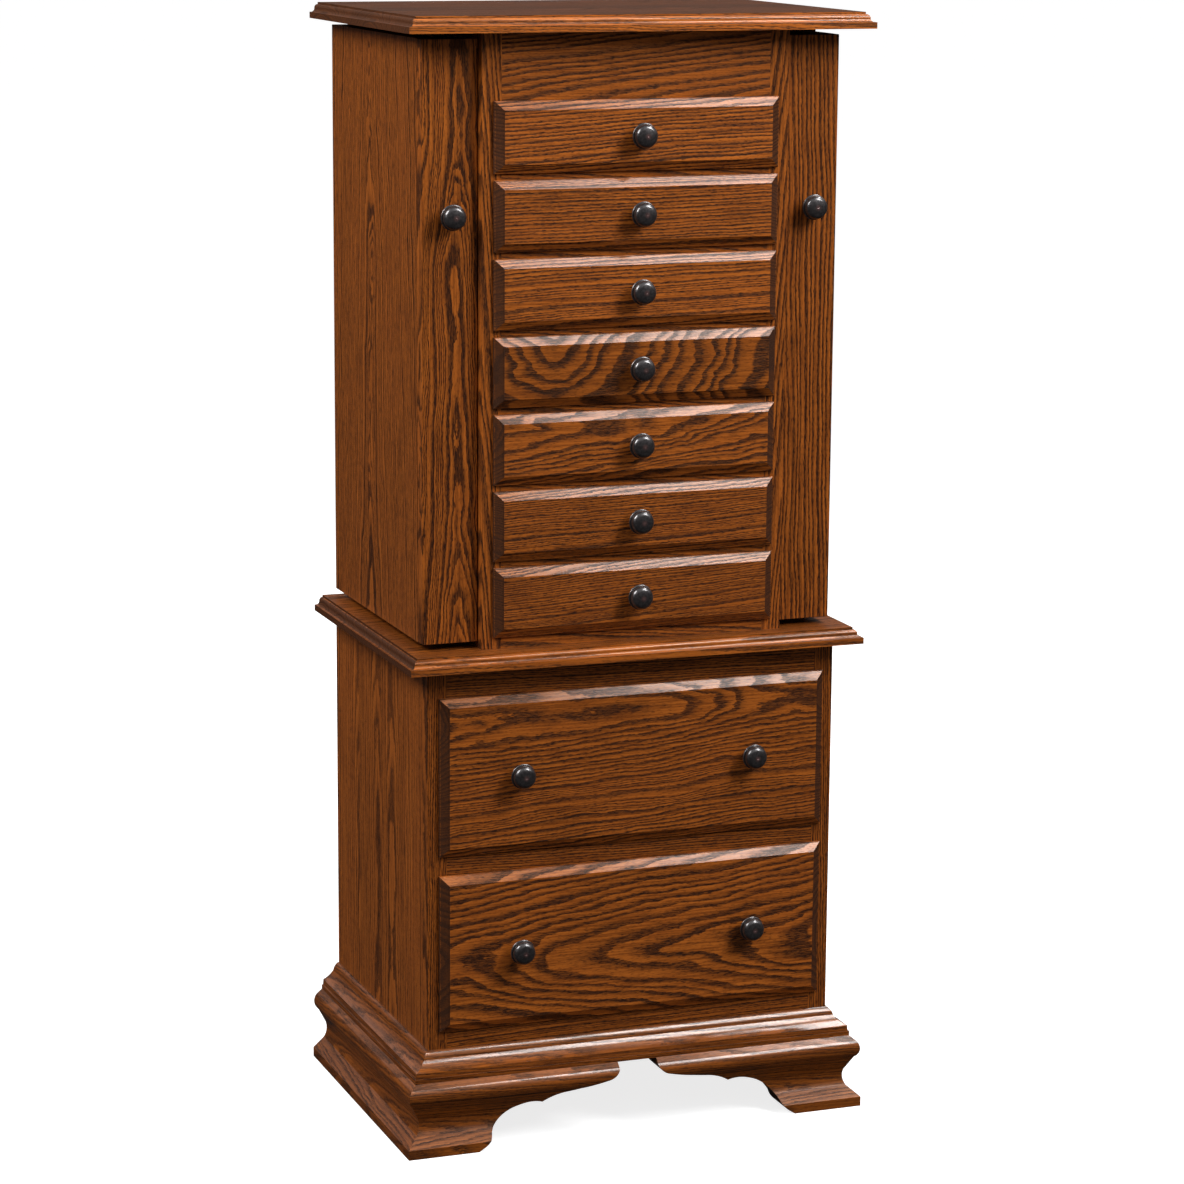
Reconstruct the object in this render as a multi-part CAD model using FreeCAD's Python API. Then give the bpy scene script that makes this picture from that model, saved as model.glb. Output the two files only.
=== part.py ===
"""Jewelry armoire in solid oak, as an assembly of its real pieces.

Units are millimetres. +X is the right-hand side seen from the front, the front faces -Y, +Z is up.
While the pieces are being made, Y = 0 is the front of the lower face frame and Z = 0 is the floor.
save() then slides everything along Y, so that the origin is the middle of the footprint.
"""
import FreeCAD, Part
import math
import os

V = FreeCAD.Vector
os.makedirs("parts", exist_ok=True)

# ---------------------------------------------------------------- driving dimensions
CASE_W = 540.0          # outside width of the lower and of the upper case
CASE_D = 389.0          # front of the lower face frame to the back of both cases
PANEL_T = 19.0          # solid oak panels and face frames
PLY_T = 12.0            # backs, partitions and dust panels
EASE = 0.6              # broken edges on boards that show

# heights above the floor
BRACKET_H = 93.0        # ogee bracket base
CAP_H = 34.6            # moulding that caps the base
LOWER_TOP = 612.0       # underside of the waist slab
SLAB_T = 20.0           # thickness of the waist slab and of the lid
UPPER_H = 749.0         # waist slab to the underside of the lid
SLAB_TOP = LOWER_TOP + SLAB_T
LID_Z = SLAB_TOP + UPPER_H

# waist slab and lid
SLAB_W = 599.0
SLAB_OVER = 30.0        # how far both boards stand out in front of the lower case
EDGE_BAND = 7.8         # square band at the bottom of the moulded edge
EDGE_LEDGE = 1.8        # flat ledge above the band
EDGE_IN = 10.8          # width of the whole moulded edge
EDGE_QUIRK = 2.6        # small upright step under the top surface

# upper face frame and the doors beside it
FRAME_SETBACK = 5.0     # upper face frame behind the lower one
FRAME_W = 396.8         # width of the upper face frame
DOOR_SETBACK = 17.0     # front of the door strips behind the lower face frame
DOOR_GAP = 1.2          # between a door strip and the face frame
DOOR_UNDER = 8.0        # slab to the bottom of a door
DOOR_OVER = 8.5         # top of a door to the lid
HINGE_GAP = 1.5         # fixed back panel to a door's side panel

# small drawers
SMALL_COUNT = 7
SMALL_PITCH = 94.35
SMALL_FIRST_Z = 1256.0  # centre of the top drawer
SMALL_W = 368.0
SMALL_H = 86.5
SMALL_OPEN_W = 346.8    # opening in the face frame
SMALL_OPEN_H = 75.3
SMALL_BOX_D = 350.0
SMALL_BOX_H = 64.0
SMALL_SIDE_T = 10.0

# large drawers
LARGE_CENTRES = (475.7, 250.7)
LARGE_W = 511.0
LARGE_H = 200.0
LARGE_OPEN_W = 490.0
LARGE_OPEN_H = 180.0
LARGE_BOX_D = 350.0
LARGE_BOX_H = 160.0
LARGE_SIDE_T = 12.0
LARGE_KNOB_X = 154.0

# lipped, bevelled drawer fronts
LIP_T = 4.5             # square edge of the lip
BEVEL_IN = 11.0         # width of the bevel
BEVEL_RISE = 6.0        # height of the bevel above the lip
FIELD_STEP = 0.8        # raised field above the bevel
FRONT_T = LIP_T + BEVEL_RISE + FIELD_STEP
SUB_FRONT_T = 12.0
DRAWER_BOTTOM_T = 4.0
DRAWER_BOTTOM_UP = 5.0  # drawer bottom above the lower edge of the sides
DRAWER_CLEAR = 1.0      # side clearance of a drawer box

# runners
RUNNER_H = 12.0
RUNNER_W = 14.0
GUIDE_H = 16.0

# knobs
KNOB_R = 15.9
KNOB_LEN = 26.5
KNOB_Z_DOOR = 1162.0
SCREW_R = 2.0
SCREW_HOLE_R = 2.3

# hinges
LEAF_T = 1.6
BARREL_R = 3.2
PIN_R = 1.5
PIN_CLEAR = 0.05
KNUCKLES = 5
KNUCKLE_GAP = 0.2
DOOR_HINGE_L = 60.0
LID_HINGE_L = 70.0
LID_HINGE_X = 130.0
SCREW_HEAD_R = 3.0

# compartment under the lid
TRAY_Z = 1312.0         # underside of the tray floor
TRAY_T = 6.0
DIVIDER_T = 6.0
DIVIDER_H = 42.0
ROLL_DEPTH = 104.0      # front of the tray, filled by the ring rolls
ROLL_H = 22.0
ROLL_COUNT = 5

# mirror under the lid
MIRROR_T = 4.0
MIRROR_FRAME_W = 24.0
MIRROR_FRAME_H = 8.0
MIRROR_FRAME_SIDE = 12.0  # clearance between the mirror frame and the walls it drops between
MIRROR_LIP = 6.0        # how far the frame laps over the glass

# necklace compartments behind the doors
HOOK_COUNT = 7
HOOK_RAIL_H = 26.0
HOOK_RAIL_T = 12.0

# ogee bracket base, as distances out from the faces of the lower case
FOOT_OUT = 36.4
FOOT_BAND = 12.4
BASE_IN = 9.0           # how far the brackets reach in under the case
BRACKET_GAP = 26.0      # half the gap between the two front brackets

# ---------------------------------------------------------------- places worked out from those
HALF_W = CASE_W / 2
HALF_FRAME = FRAME_W / 2
CASE_IN = HALF_W - PANEL_T                    # inside of the lower sides and of the door panels
BACK_FRONT_Y = CASE_D - PLY_T                 # inside of the back panels
FRAME_Y = FRAME_SETBACK
FRAME_BACK_Y = FRAME_Y + PANEL_T
STILE_IN = SMALL_OPEN_W / 2
PARTITION_IN = HALF_FRAME - PLY_T
DOOR_Z = SLAB_TOP + DOOR_UNDER
DOOR_TOP = LID_Z - DOOR_OVER
DOOR_HINGE_X = CASE_IN - HINGE_GAP / 2
HINGE_Y = CASE_D + BARREL_R                   # every hinge pin stands just behind the case
BACK_OF_ALL = HINGE_Y + BARREL_R
FRONT_OF_ALL = -(FRONT_T + KNOB_LEN)
SHIFT_Y = -(BACK_OF_ALL + FRONT_OF_ALL) / 2
CAP_TOP = BRACKET_H + CAP_H


# ---------------------------------------------------------------- small geometry helpers
def box(x0, x1, y0, y1, z0, z1):
    """Plain board between two corners."""
    return Part.makeBox(x1 - x0, y1 - y0, z1 - z0, V(x0, y0, z0))


def eased_box(x0, x1, y0, y1, z0, z1, ease=EASE):
    """Board with its long and short edges broken."""
    board = box(x0, x1, y0, y1, z0, z1)
    return board.makeChamfer(ease, board.Edges)


def mirrored(shape):
    """The same piece on the other side of the armoire."""
    return shape.mirror(V(0, 0, 0), V(1, 0, 0))


def both_sides(shapes):
    return list(shapes) + [mirrored(shape) for shape in shapes]


def outline(path, place):
    """Closed wire through (u, v) points; ("arc", middle, end) makes a round stretch."""
    edges = []
    here = path[0]
    for step in path[1:] + [path[0]]:
        if step[0] == "arc":
            edges.append(Part.Arc(place(*here), place(*step[1]), place(*step[2])).toShape())
            here = step[2]
        else:
            edges.append(Part.LineSegment(place(*here), place(*step)).toShape())
            here = step
    return Part.Wire(edges)


def extruded(path, place, direction):
    return Part.Face(outline(path, place)).extrude(direction)


def level_arc(start, end):
    """Arc that leaves start horizontally and arrives at end."""
    du = end[0] - start[0]
    dv = end[1] - start[1]
    radius = (du * du + dv * dv) / (2 * dv)
    half_turn = math.atan2(abs(dv), abs(du))
    middle = (start[0] + math.copysign(abs(radius) * math.sin(half_turn), du),
              start[1] + radius * (1 - math.cos(half_turn)))
    return ("arc", middle, end)


def arc_to_level(start, end):
    """Arc that arrives at end horizontally."""
    return ("arc", level_arc(end, start)[1], end)


def save(node, shapes):
    """Write one node, moved so that the origin is the middle of the footprint."""
    shape = shapes if isinstance(shapes, Part.Shape) else Part.makeCompound(shapes)
    moved = shape.copy()
    moved.translate(V(0, SHIFT_Y, 0))
    moved.exportStep("parts/%s.step" % node)


# ---------------------------------------------------------------- moulded boards
def moulded_board(z):
    """Board whose front and side edges carry an ogee over a square band."""
    half = SLAB_W / 2
    step_top = SLAB_T - EDGE_QUIRK
    low = (EDGE_LEDGE, EDGE_BAND)
    high = (EDGE_IN, step_top)
    turn = ((low[0] + high[0]) / 2, (low[1] + high[1]) / 2)
    rising = [(0, 0), (0, EDGE_BAND), low, level_arc(low, turn), arc_to_level(turn, high), (EDGE_IN, SLAB_T)]
    across = Part.Face(outline(rising + [(half, SLAB_T), (half, 0)], lambda u, v: V(-half + u, 0, z + v)))
    length = CASE_D + SLAB_OVER
    left = across.extrude(V(0, length, 0))
    left.translate(V(0, -SLAB_OVER, 0))
    sides = left.fuse(mirrored(left)).removeSplitter()
    front = extruded(rising + [(length, SLAB_T), (length, 0)],
                     lambda u, v: V(-half, -SLAB_OVER + u, z + v), V(SLAB_W, 0, 0))
    return sides.common(front)


def make_boards():
    save("waist_slab", moulded_board(LOWER_TOP))
    save("lid_board", moulded_board(LID_Z))


# ---------------------------------------------------------------- base
CAP_PATH = [
    (0, BRACKET_H), (24.0, BRACKET_H), (24.0, 98.8), (22.4, 98.8), (21.8, 106.0),
    ("arc", (13.4, 111.4), (7.8, 117.8)), ("arc", (5.0, 124.4), (1.4, CAP_TOP)), (0, CAP_TOP),
]
BASE_PATH = [
    (-BASE_IN, 0), (FOOT_OUT, 0), (FOOT_OUT, FOOT_BAND), (21.6, 25.6),
    ("arc", (18.0, 35.6), (19.4, 47.0)), (29.2, 65.4),
    ("arc", (34.9, 78.6), (31.0, 87.2)), (24.0, BRACKET_H), (-BASE_IN, BRACKET_H),
]


def front_run(path, x0, x1):
    """Length of moulding along the front."""
    return extruded(path, lambda out, z: V(x0, -out, z), V(x1 - x0, 0, 0))


def side_run(path):
    """Length of moulding along the right-hand side."""
    front_end = -FOOT_OUT - 1
    return extruded(path, lambda out, z: V(HALF_W + out, front_end, z), V(0, CASE_D - front_end, 0))


def mitre_wedge():
    """Everything outside the 45-degree mitre plane at the front right corner."""
    reach = 600.0
    corners = [V(HALF_W - reach, reach, -1), V(HALF_W + reach, -reach, -1), V(HALF_W + reach, reach, -1)]
    return Part.Face(Part.makePolygon(corners + corners[:1])).extrude(V(0, 0, LOWER_TOP))


def bracket_blank():
    """Front elevation of the right-hand bracket, from the middle gap out to the corner."""
    far = HALF_W + FOOT_OUT + 1
    low = -1.0
    path = [
        (BRACKET_GAP, BRACKET_H + 1), (BRACKET_GAP, 85.5),
        ("arc", (32.5, 77.0), (43.0, 72.6)),
        ("arc", (70.0, 66.6), (97.0, 62.6)),
        ("arc", (112.0, 58.6), (126.0, 51.0)),
        ("arc", (139.0, 53.4), (152.0, 51.6)),
        ("arc", (178.6, 38.6), (194.6, 21.0)),
        ("arc", (199.4, 11.4), (208.0, 4.0)),
        (216.0, low), (far, low), (far, BRACKET_H + 1),
    ]
    return extruded(path, lambda x, z: V(x, -FOOT_OUT - 1, z), V(0, FOOT_OUT + BASE_IN + 2, 0))


def make_base():
    wedge = mitre_wedge()
    side_cap = side_run(CAP_PATH).common(wedge)
    side_skirt = side_run(BASE_PATH).common(wedge)
    far = HALF_W + FOOT_OUT + 1
    front_cap = front_run(CAP_PATH, -far, far).cut(wedge).cut(mirrored(wedge))
    bracket = front_run(BASE_PATH, BRACKET_GAP, far).cut(wedge).common(bracket_blank())
    save("base_cap_moulding", [front_cap] + both_sides([side_cap]))
    save("base_bracket_front_right", bracket)
    save("base_bracket_front_left", mirrored(bracket))
    save("base_side_skirts", both_sides([side_skirt]))

    inner_x = HALF_W - BASE_IN
    rail = box(-inner_x, inner_x, CASE_D - PANEL_T, CASE_D, BRACKET_H - 45, BRACKET_H)
    blocks = []
    for inner_y, inward in ((BASE_IN, 1), (CASE_D - PANEL_T, -1)):
        leg = 42.0 * inward
        corners = [V(inner_x, inner_y, 20), V(inner_x - 42, inner_y, 20), V(inner_x, inner_y + leg, 20)]
        blocks.append(Part.Face(Part.makePolygon(corners + corners[:1])).extrude(V(0, 0, BRACKET_H - 20)))
    save("base_inner_frame", [rail] + both_sides(blocks))


# ---------------------------------------------------------------- face frames
def face_frame(half_w, open_half_w, y, z_low, z_high, openings):
    """Two stiles, with a rail between each pair of openings and at both ends."""
    stile = box(open_half_w, half_w, y, y + PANEL_T, z_low, z_high)
    solids = both_sides([stile])
    rail_low = z_low
    for low, high in sorted(openings) + [(z_high, None)]:
        solids.append(box(-open_half_w, open_half_w, y, y + PANEL_T, rail_low, low))
        rail_low = high
    return solids


def small_centre(index):
    return SMALL_FIRST_Z - SMALL_PITCH * index


def span(centre, height):
    return (centre - height / 2, centre + height / 2)


SMALL_OPENINGS = [span(small_centre(index), SMALL_OPEN_H) for index in range(SMALL_COUNT)]
LARGE_OPENINGS = [span(centre, LARGE_OPEN_H) for centre in LARGE_CENTRES]


# ---------------------------------------------------------------- lower case
def make_lower_case():
    side = box(CASE_IN, HALF_W, PANEL_T, CASE_D, BRACKET_H, LOWER_TOP)
    save("lower_side_panels", both_sides([side]))
    save("lower_face_frame", face_frame(HALF_W, LARGE_OPEN_W / 2, 0, BRACKET_H, LOWER_TOP, LARGE_OPENINGS))
    save("lower_back_panel", box(-CASE_IN, CASE_IN, BACK_FRONT_Y, CASE_D, BRACKET_H, LOWER_TOP))

    floor_top = LARGE_OPENINGS[1][0] - RUNNER_H
    middle = (LARGE_OPENINGS[0][0] + LARGE_OPENINGS[1][1]) / 2
    panels = []
    for top in (floor_top, middle + PLY_T / 2):
        panels.append(box(-CASE_IN, CASE_IN, PANEL_T, BACK_FRONT_Y, top - PLY_T, top))
    save("lower_dust_panels", panels)

    solids = []
    guide_x = LARGE_OPEN_W / 2
    for low, high in LARGE_OPENINGS:
        solids.append(box(guide_x - RUNNER_W, CASE_IN, PANEL_T, BACK_FRONT_Y, low - RUNNER_H, low))
        solids.append(box(guide_x, CASE_IN, PANEL_T, BACK_FRONT_Y, low, low + GUIDE_H))
        kicker_low = low + LARGE_BOX_H + 2
        solids.append(box(guide_x - RUNNER_W, CASE_IN, PANEL_T, BACK_FRONT_Y, kicker_low, kicker_low + RUNNER_H))
    save("lower_drawer_runners", both_sides(solids))


# ---------------------------------------------------------------- upper case
def make_upper_case():
    partition = box(PARTITION_IN, HALF_FRAME, FRAME_BACK_Y, BACK_FRONT_Y, SLAB_TOP, LID_Z)
    save("upper_partitions", both_sides([partition]))
    save("upper_face_frame", face_frame(HALF_FRAME, STILE_IN, FRAME_Y, SLAB_TOP, LID_Z, SMALL_OPENINGS))

    back_half = CASE_IN - HINGE_GAP
    save("upper_back_panel", box(-back_half, back_half, BACK_FRONT_Y, CASE_D, SLAB_TOP, LID_Z))

    solids = []
    for low, high in SMALL_OPENINGS:
        solids.append(box(STILE_IN - RUNNER_W, PARTITION_IN, FRAME_BACK_Y, BACK_FRONT_Y, low - RUNNER_H, low))
        solids.append(box(STILE_IN, PARTITION_IN, FRAME_BACK_Y, BACK_FRONT_Y, low, low + GUIDE_H))
    save("upper_drawer_runners", both_sides(solids))

    ends = []
    for low in (SLAB_TOP, LID_Z - TRAY_T):
        ends.append(box(HALF_FRAME, back_half, FRAME_BACK_Y + PANEL_T, BACK_FRONT_Y, low, low + TRAY_T))
    save("necklace_compartment_ends", both_sides(ends))

    catch_z = (DOOR_Z + DOOR_TOP) / 2
    catch_y = DOOR_SETBACK + PANEL_T
    catch = box(HALF_FRAME, HALF_FRAME + 13, catch_y, catch_y + 16, catch_z - 22, catch_z + 22)
    save("door_catches", both_sides([catch]))


# ---------------------------------------------------------------- compartment under the lid
def make_tray():
    floor = box(-PARTITION_IN, PARTITION_IN, FRAME_BACK_Y, BACK_FRONT_Y, TRAY_Z, TRAY_Z + TRAY_T)
    save("tray_floor", floor)

    low = TRAY_Z + TRAY_T
    high = low + DIVIDER_H
    front_wall = FRAME_BACK_Y + ROLL_DEPTH
    middle_wall = (front_wall + DIVIDER_T + BACK_FRONT_Y) / 2
    solids = []
    for y in (front_wall, middle_wall):
        solids.append(box(-PARTITION_IN, PARTITION_IN, y, y + DIVIDER_T, low, high))
    cross_x = PARTITION_IN / 3
    for y0, y1 in ((front_wall + DIVIDER_T, middle_wall), (middle_wall + DIVIDER_T, BACK_FRONT_Y)):
        for x in (-cross_x, cross_x):
            solids.append(box(x - DIVIDER_T / 2, x + DIVIDER_T / 2, y0, y1, low, high))
    save("tray_dividers", solids)

    pitch = ROLL_DEPTH / ROLL_COUNT
    rolls = []
    for index in range(ROLL_COUNT):
        y = FRAME_BACK_Y + pitch * index
        roll = box(-PARTITION_IN + 1, PARTITION_IN - 1, y + 0.5, y + pitch - 0.5, low, low + ROLL_H)
        top_edges = [edge for edge in roll.Edges if abs(edge.CenterOfMass.z - low - ROLL_H) < 0.1
                     and edge.Length > ROLL_DEPTH]
        rolls.append(roll.makeFillet(pitch * 0.42, top_edges))
    save("ring_rolls", rolls)


# ---------------------------------------------------------------- drawers
def drawer_front(width, height, face_y, centre_z, knob_xs):
    """Lipped front: square edge, bevel, small step and raised field."""
    low, high = span(centre_z, height)
    half = width / 2
    lip_y = face_y - LIP_T
    bevel_y = lip_y - BEVEL_RISE

    def ring(inset, y):
        corners = [V(-half + inset, y, low + inset), V(half - inset, y, low + inset),
                   V(half - inset, y, high - inset), V(-half + inset, y, high - inset)]
        return Part.makePolygon(corners + corners[:1])

    lip = box(-half, half, lip_y, face_y, low, high)
    outer = [edge for edge in lip.Edges if abs(edge.CenterOfMass.y - lip_y) < 0.01]
    lip = lip.makeFillet(1.0, outer)
    bevel = Part.makeLoft([ring(1.0, lip_y), ring(BEVEL_IN, bevel_y)], True, True)
    field = box(-half + BEVEL_IN, half - BEVEL_IN, bevel_y - FIELD_STEP, bevel_y,
                low + BEVEL_IN, high - BEVEL_IN)
    front = lip.fuse([bevel, field]).removeSplitter()
    for x in knob_xs:
        front = front.cut(screw_hole(x, centre_z, bevel_y - 2, face_y + 1))
    return front


def screw_hole(x, z, y0, y1):
    return Part.makeCylinder(SCREW_HOLE_R, y1 - y0, V(x, y0, z), V(0, 1, 0))


def drawer_box(half_w, side_t, y, depth, z, height, knob_xs, knob_z):
    """Sub-front, sides, back and thin bottom, each a board of its own."""
    y_back = y + depth
    bottom_z = z + DRAWER_BOTTOM_UP
    side = box(half_w - side_t, half_w, y, y_back, z, z + height)
    inner = half_w - side_t
    sub_front = box(-inner, inner, y, y + SUB_FRONT_T, z, z + height)
    for x in knob_xs:
        sub_front = sub_front.cut(screw_hole(x, knob_z, y - 1, y + SUB_FRONT_T + 1))
    back = box(-inner, inner, y_back - side_t, y_back, z, z + height)
    bottom = box(-inner, inner, y + SUB_FRONT_T, y_back - side_t, bottom_z, bottom_z + DRAWER_BOTTOM_T)
    return both_sides([side]) + [sub_front, back, bottom]


def knob(x, face_y, z, through):
    """Mushroom knob with a crowned head standing proud of a stepped rim, and the machine screw that holds it."""
    path = [
        (0, 0), (8.6, 0), (8.6, 1.6), ("arc", (7.2, 3.4), (5.4, 4.6)),
        ("arc", (5.2, 8.0), (7.2, 11.2)), (14.6, 12.6), ("arc", (KNOB_R, 14.0), (14.8, 15.4)),
        (13.2, 15.6), (13.3, 16.0), ("arc", (14.4, 19.4), (9.4, 25.5)),
        arc_to_level((9.4, 25.5), (0, KNOB_LEN)),
    ]
    face = Part.Face(outline(path, lambda r, out: V(r, -out, 0)))
    body = face.revolve(V(0, 0, 0), V(0, 1, 0), 360)
    shank_in = 9.0
    socket = Part.makeCylinder(SCREW_R, shank_in, V(0, -shank_in, 0), V(0, 1, 0))
    body = body.cut(socket)
    shank = Part.makeCylinder(SCREW_R, shank_in + through, V(0, -shank_in, 0), V(0, 1, 0))
    head = Part.makeCylinder(3.9, 2.2, V(0, through, 0), V(0, 1, 0))
    rim = [edge for edge in head.Edges if abs(edge.CenterOfMass.y - through - 2.2) < 0.01]
    screw = shank.fuse(head.makeFillet(1.2, rim)).removeSplitter()
    pieces = []
    for piece in (body, screw):
        piece.translate(V(x, face_y, z))
        pieces.append(piece)
    return pieces


def make_drawer(name, width, height, face_y, centre_z, opening, half_w, side_t, depth, box_h, knob_xs, knobs_name):
    save("%s_front" % name, drawer_front(width, height, face_y, centre_z, knob_xs))
    save("%s_box" % name, drawer_box(half_w, side_t, face_y, depth, opening[0], box_h, knob_xs, centre_z))
    pieces = []
    for x in knob_xs:
        pieces += knob(x, face_y - FRONT_T, centre_z, FRONT_T + SUB_FRONT_T)
    save("%s_%s" % (name, knobs_name), pieces)


def make_drawers():
    for index in range(SMALL_COUNT):
        make_drawer("drawer_%d" % (index + 1), SMALL_W, SMALL_H, FRAME_Y, small_centre(index),
                    SMALL_OPENINGS[index], STILE_IN - DRAWER_CLEAR, SMALL_SIDE_T, SMALL_BOX_D,
                    SMALL_BOX_H, [0.0], "knob")
    for index, centre in enumerate(LARGE_CENTRES):
        make_drawer("large_drawer_%d" % (index + 1), LARGE_W, LARGE_H, 0.0, centre,
                    LARGE_OPENINGS[index], LARGE_OPEN_W / 2 - DRAWER_CLEAR, LARGE_SIDE_T, LARGE_BOX_D,
                    LARGE_BOX_H, [-LARGE_KNOB_X, LARGE_KNOB_X], "knobs")


# ---------------------------------------------------------------- hinges
def hinge_leaf(length, leaf_w, moving):
    """One leaf along Z with the pin on the Z axis; the leaf reaches towards +X, or -X when fixed."""
    pitch = length / KNUCKLES
    sign = 1 if moving else -1
    x0, x1 = sorted((0.0, sign * leaf_w))
    y0 = -BARREL_R
    leaf = box(x0, x1, y0, y0 + LEAF_T, 0, length)
    for row in (0.2, 0.5, 0.8):
        hole = Part.makeCylinder(SCREW_R, LEAF_T + 2, V(sign * (leaf_w - 5.5), y0 - 1, length * row), V(0, 1, 0))
        leaf = leaf.cut(hole)
    for index in range(KNUCKLES):
        mine = index % 2 == (1 if moving else 0)
        low = index * pitch
        if mine:
            low_end = low + (KNUCKLE_GAP if index else 0)
            high_end = low + pitch - (KNUCKLE_GAP if index < KNUCKLES - 1 else 0)
            knuckle = Part.makeCylinder(BARREL_R, high_end - low_end, V(0, 0, low_end))
            leaf = leaf.fuse(knuckle)
        else:
            clear = BARREL_R + 0.3
            leaf = leaf.cut(Part.makeCylinder(clear, pitch + 2 * KNUCKLE_GAP, V(0, 0, low - KNUCKLE_GAP)))
    if moving:
        leaf = leaf.cut(Part.makeCylinder(PIN_R + PIN_CLEAR, length + 2, V(0, 0, -1)))
    else:
        leaf = leaf.fuse(Part.makeCylinder(PIN_R, length, V(0, 0, 0)))
    return leaf.removeSplitter()


def leaf_screws(length, leaf_w, moving):
    """Round-headed wood screws, their shanks ending inside the leaf's holes."""
    sign = 1 if moving else -1
    screws = []
    for row in (0.2, 0.5, 0.8):
        centre = V(sign * (leaf_w - 5.5), -BARREL_R, length * row)
        shank = Part.makeCylinder(SCREW_R - 0.1, LEAF_T, centre, V(0, 1, 0))
        head = Part.makeCylinder(SCREW_HEAD_R, 1.0, centre + V(0, LEAF_T, 0), V(0, 1, 0))
        screws.append(shank.fuse(head).removeSplitter())
    return screws


def place_door_hinge(shape, z):
    shape.translate(V(DOOR_HINGE_X, HINGE_Y, z))
    return shape


def place_lid_hinge(shape, x):
    """Turn the hinge so that its pin runs along X and the moving leaf stands up."""
    shape.rotate(V(0, 0, 0), V(0, 1, 0), -90)
    shape.translate(V(x, HINGE_Y, LID_Z))
    return shape


def make_hinges():
    door_zs = [DOOR_Z + 70, (DOOR_Z + DOOR_TOP) / 2 - DOOR_HINGE_L / 2, DOOR_TOP - 70 - DOOR_HINGE_L]
    door_leaf = 17.0
    lid_leaf = 16.0
    fixed = []
    moving = []
    for z in door_zs:
        fixed_parts = [hinge_leaf(DOOR_HINGE_L, door_leaf, False)] + leaf_screws(DOOR_HINGE_L, door_leaf, False)
        moving_parts = [hinge_leaf(DOOR_HINGE_L, door_leaf, True)] + leaf_screws(DOOR_HINGE_L, door_leaf, True)
        fixed += [place_door_hinge(shape, z) for shape in fixed_parts]
        moving += [place_door_hinge(shape, z) for shape in moving_parts]
    save("right_door_hinge_leaves", moving)
    save("left_door_hinge_leaves", [mirrored(shape) for shape in moving])

    lid_fixed = []
    lid_moving = []
    for x in (-LID_HINGE_X, LID_HINGE_X):
        start = x + LID_HINGE_L / 2
        fixed_parts = [hinge_leaf(LID_HINGE_L, lid_leaf, False)] + leaf_screws(LID_HINGE_L, lid_leaf, False)
        moving_parts = [hinge_leaf(LID_HINGE_L, lid_leaf, True)] + leaf_screws(LID_HINGE_L, lid_leaf, True)
        lid_fixed += [place_lid_hinge(shape, start) for shape in fixed_parts]
        lid_moving += [place_lid_hinge(shape, start) for shape in moving_parts]
    save("fixed_hinge_leaves", both_sides(fixed) + lid_fixed)
    save("lid_hinge_leaves", lid_moving)


# ---------------------------------------------------------------- doors
def necklace_hook(y, x_wall, z):
    """J-shaped wire hook that reaches from the rail towards the middle of the armoire."""
    wire_r = 1.2
    reach = 15.0
    bend = 4.0
    start = V(x_wall, y, z)
    straight_end = V(x_wall - reach + bend, y, z)
    bend_mid = V(x_wall - reach + bend - bend * math.sin(math.pi / 4), y, z + bend * (1 - math.cos(math.pi / 4)))
    bend_end = V(x_wall - reach, y, z + bend)
    tip = V(x_wall - reach, y, z + bend + 5)
    path = Part.Wire([Part.LineSegment(start, straight_end).toShape(),
                      Part.Arc(straight_end, bend_mid, bend_end).toShape(),
                      Part.LineSegment(bend_end, tip).toShape()])
    section = Part.Wire([Part.makeCircle(wire_r, start, V(1, 0, 0))])
    wire = path.makePipeShell([section], True, False)
    plate = Part.makeCylinder(4.0, 1.4, V(x_wall - 1.4, y, z), V(1, 0, 0))
    return wire.fuse(plate).removeSplitter()


def make_doors():
    strip_in = HALF_FRAME + DOOR_GAP
    strip_back = DOOR_SETBACK + PANEL_T
    strip = eased_box(strip_in, HALF_W, DOOR_SETBACK, strip_back, DOOR_Z, DOOR_TOP)
    strip_x = (strip_in + HALF_W) / 2
    strip = strip.cut(screw_hole(strip_x, KNOB_Z_DOOR, DOOR_SETBACK - 1, strip_back + 1))
    panel = box(CASE_IN, HALF_W, strip_back, CASE_D, DOOR_Z, DOOR_TOP)
    pieces = knob(strip_x, DOOR_SETBACK, KNOB_Z_DOOR, PANEL_T)
    save("right_door_knob", pieces)
    save("left_door_knob", [mirrored(piece) for piece in pieces])

    rail_top = DOOR_TOP - 30
    rail_in = CASE_IN - HOOK_RAIL_T
    rail_y0 = strip_back + 22
    rail_y1 = BACK_FRONT_Y - 22
    rail = eased_box(rail_in, CASE_IN, rail_y0, rail_y1, rail_top - HOOK_RAIL_H, rail_top)
    pitch = (rail_y1 - rail_y0) / HOOK_COUNT
    hooks = [necklace_hook(rail_y0 + pitch * (index + 0.5), rail_in, rail_top - HOOK_RAIL_H / 2)
             for index in range(HOOK_COUNT)]
    save("right_door", [strip, panel, rail])
    save("left_door", [mirrored(strip), mirrored(panel), mirrored(rail)])
    save("right_necklace_hooks", hooks)
    save("left_necklace_hooks", [mirrored(hook) for hook in hooks])


# ---------------------------------------------------------------- mirror under the lid
def mitred_strip(section, half_long, half_across):
    """Frame strip along X, its outer edge at Y = -half_across, with both ends mitred."""
    low = LID_Z - 2 * MIRROR_FRAME_H
    strip = extruded(section, lambda u, v: V(-half_long, -half_across + u, LID_Z + v), V(2 * half_long, 0, 0))
    short = half_long - MIRROR_FRAME_W
    corners = [V(-half_long, -half_across, low), V(half_long, -half_across, low),
               V(short, -half_across + MIRROR_FRAME_W, low), V(-short, -half_across + MIRROR_FRAME_W, low)]
    return strip.common(Part.Face(Part.makePolygon(corners + corners[:1])).extrude(V(0, 0, 3 * MIRROR_FRAME_H)))


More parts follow.
